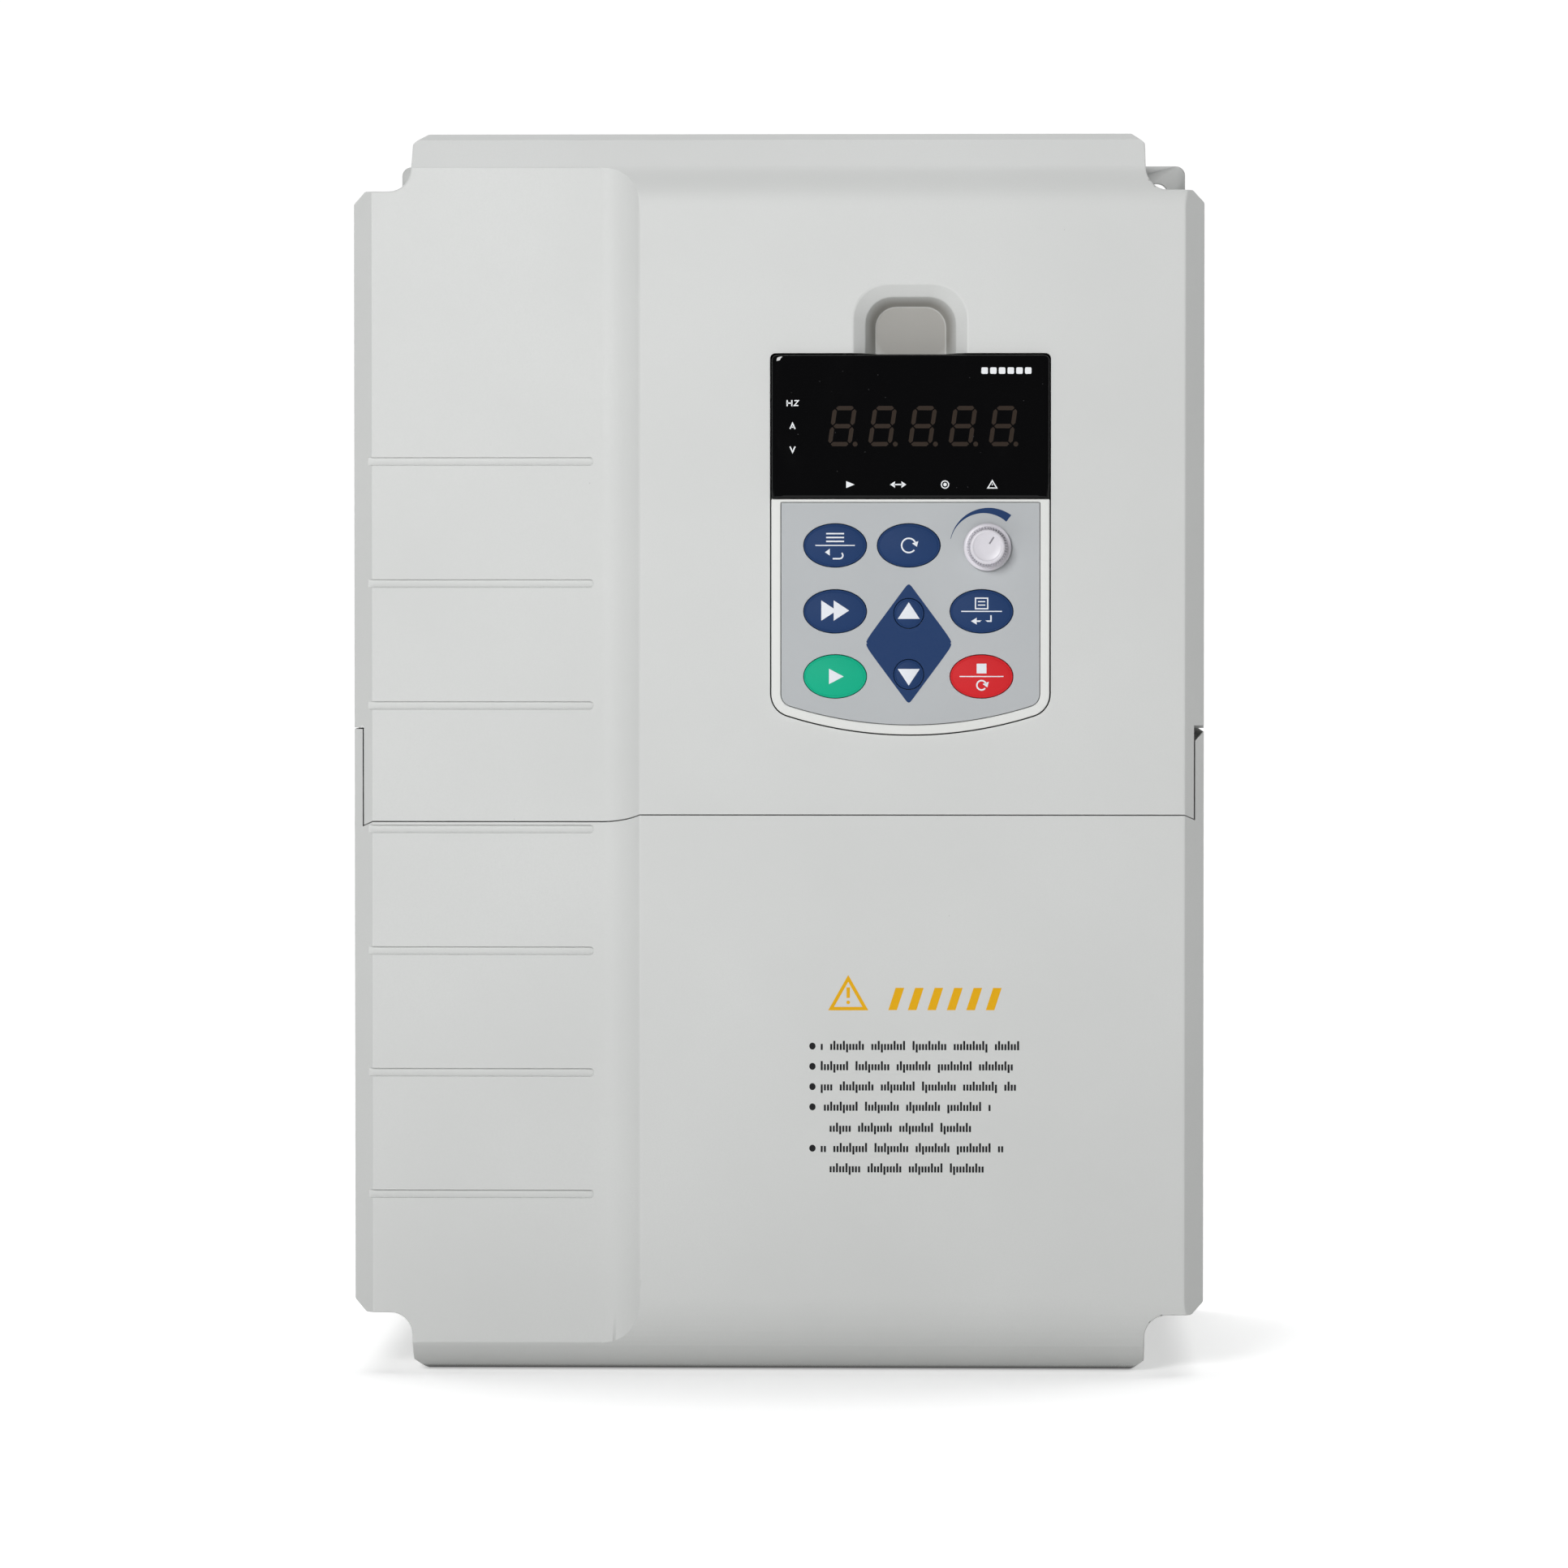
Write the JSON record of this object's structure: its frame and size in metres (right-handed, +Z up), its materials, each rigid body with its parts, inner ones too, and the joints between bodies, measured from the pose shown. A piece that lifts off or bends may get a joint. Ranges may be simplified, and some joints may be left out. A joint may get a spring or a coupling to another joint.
{
  "type": "variable frequency drive",
  "caption": "Wall-mounted variable frequency drive: notched plastic case, removable keypad with display, keys and speed knob, slide-off wiring cover, finned heat sink and lift-off fan grille.",
  "frame": {"origin": "centre of the four wall-mounting holes, on the back face", "axes": "+X to the right seen from the front, +Y into the wall, +Z up; the front faces -Y"},
  "size_m": [0.21, 0.185, 0.307],
  "materials": {
    "case_plastic": "fine spark-eroded texture",
    "steel": "black passivated sheet",
    "rubber": "matte",
    "screw_steel": "zinc plated",
    "aluminium": "extruded, satin",
    "black_plastic": "satin",
    "power_pcb": "solder mask",
    "control_pcb": "solder mask",
    "capacitor_sleeve": "shrink sleeve",
    "sensor_blue": "moulded",
    "brass": "turned",
    "insulation_film": "thin film",
    "terminal_green": "moulded",
    "ribbon": "flat cable",
    "lamp_red": "clear red",
    "keypad_shell": "satin",
    "window_black": "polished",
    "overlay_film": "fine matte film",
    "display_black": "moulded",
    "knob_white": "satin",
    "key_blue": "satin gloss",
    "key_green": "satin gloss",
    "key_red": "satin gloss"
  },
  "bodies": {
    "root": {"rear_housing": "case_plastic", "mid_housing": "case_plastic", "upper_cover": "case_plastic", "housing_screws": "screw_steel", "cable_plate": "steel", "cable_grommets": "rubber", "heatsink": "aluminium", "fan_frame_left": "black_plastic", "fan_frame_right": "black_plastic", "fan_screws": "screw_steel", "rectifier_module": "black_plastic", "inverter_module": "black_plastic", "module_screws": "screw_steel", "power_board": "power_pcb", "power_board_screws": "screw_steel", "dc_capacitors": "capacitor_sleeve", "power_relay": "black_plastic", "current_sensors": "sensor_blue", "power_terminal_block": "black_plastic", "power_terminal_screws": "screw_steel", "earth_bar": "steel", "earth_screws": "screw_steel", "control_board": "control_pcb", "board_pillars": "brass", "control_board_screws": "screw_steel", "insulation_sheet": "insulation_film", "control_terminals": "terminal_green", "control_terminal_screws": "screw_steel", "signal_relay": "black_plastic", "control_chips": "black_plastic", "ribbon_cable": "ribbon", "keypad_socket": "black_plastic", "charge_lamp": "lamp_red", "upper_cover_screws": "screw_steel"},
    "lower_cover": {"lower_cover": "case_plastic"},
    "fan_cover": {"fan_cover": "case_plastic"},
    "fan_rotor_left": {"fan_rotor_left": "black_plastic"},
    "fan_rotor_right": {"fan_rotor_right": "black_plastic"},
    "keypad": {"keypad_front": "keypad_shell", "keypad_back": "keypad_shell", "keypad_window": "window_black", "keypad_overlay": "overlay_film", "keypad_board": "power_pcb", "keypad_plug": "black_plastic", "display_module": "display_black", "tact_switches": "black_plastic", "keypad_screws": "screw_steel", "potentiometer": "black_plastic"},
    "speed_knob": {"speed_knob": "knob_white", "pot_shaft": "screw_steel"},
    "keypad_latch": {"keypad_latch": "keypad_shell"},
    "key_program": {"key_program": "key_blue"},
    "key_jog": {"key_jog": "key_blue"},
    "key_shift": {"key_shift": "key_blue"},
    "key_enter": {"key_enter": "key_blue"},
    "key_run": {"key_run": "key_green"},
    "key_stop": {"key_stop": "key_red"},
    "key_up": {"key_up": "key_blue"},
    "key_down": {"key_down": "key_blue"}
  },
  "joints": [
    {"name": "lower_cover_slide", "type": "slide", "parent": "root", "child": "lower_cover", "axis": [0, -1, 0], "range_m": [0, 0.11]},
    {"name": "fan_cover_slide", "type": "slide", "parent": "root", "child": "fan_cover", "axis": [0, 0, 1], "range_m": [0, 0.03]},
    {"name": "fan_left_spin", "type": "hinge", "parent": "root", "child": "fan_rotor_left", "pos_m": [-0.038, -0.039, 0.135], "axis": [0, 0, 1], "continuous": true},
    {"name": "fan_right_spin", "type": "hinge", "parent": "root", "child": "fan_rotor_right", "pos_m": [0.038, -0.039, 0.135], "axis": [0, 0, 1], "continuous": true},
    {"name": "keypad_slide", "type": "slide", "parent": "root", "child": "keypad", "axis": [0, -1, 0], "range_m": [0, 0.03]},
    {"name": "speed_knob_turn", "type": "hinge", "parent": "keypad", "child": "speed_knob", "pos_m": [0.0516, -0.18, 0.0508], "axis": [0, 1, 0], "range_deg": [-183, 117]},
    {"name": "latch_press", "type": "hinge", "parent": "keypad", "child": "keypad_latch", "pos_m": [0.0327, -0.1602, 0.0944], "axis": [1, 0, 0], "range_deg": [0, 8], "stiffness_Nm_per_rad": 0.5, "springref_deg": -1.15},
    {"name": "key_program_press", "type": "slide", "parent": "keypad", "child": "key_program", "axis": [0, 1, 0], "range_m": [0, 0.0006], "stiffness_N_per_m": 2500, "springref_m": -0.0002},
    {"name": "key_jog_press", "type": "slide", "parent": "keypad", "child": "key_jog", "axis": [0, 1, 0], "range_m": [0, 0.0006], "stiffness_N_per_m": 2500, "springref_m": -0.0002},
    {"name": "key_shift_press", "type": "slide", "parent": "keypad", "child": "key_shift", "axis": [0, 1, 0], "range_m": [0, 0.0006], "stiffness_N_per_m": 2500, "springref_m": -0.0002},
    {"name": "key_enter_press", "type": "slide", "parent": "keypad", "child": "key_enter", "axis": [0, 1, 0], "range_m": [0, 0.0006], "stiffness_N_per_m": 2500, "springref_m": -0.0002},
    {"name": "key_run_press", "type": "slide", "parent": "keypad", "child": "key_run", "axis": [0, 1, 0], "range_m": [0, 0.0006], "stiffness_N_per_m": 2500, "springref_m": -0.0002},
    {"name": "key_stop_press", "type": "slide", "parent": "keypad", "child": "key_stop", "axis": [0, 1, 0], "range_m": [0, 0.0006], "stiffness_N_per_m": 2500, "springref_m": -0.0002},
    {"name": "key_up_press", "type": "slide", "parent": "keypad", "child": "key_up", "axis": [0, 1, 0], "range_m": [0, 0.0006], "stiffness_N_per_m": 2500, "springref_m": -0.0002},
    {"name": "key_down_press", "type": "slide", "parent": "keypad", "child": "key_down", "axis": [0, 1, 0], "range_m": [0, 0.0006], "stiffness_N_per_m": 2500, "springref_m": -0.0002}
  ]
}
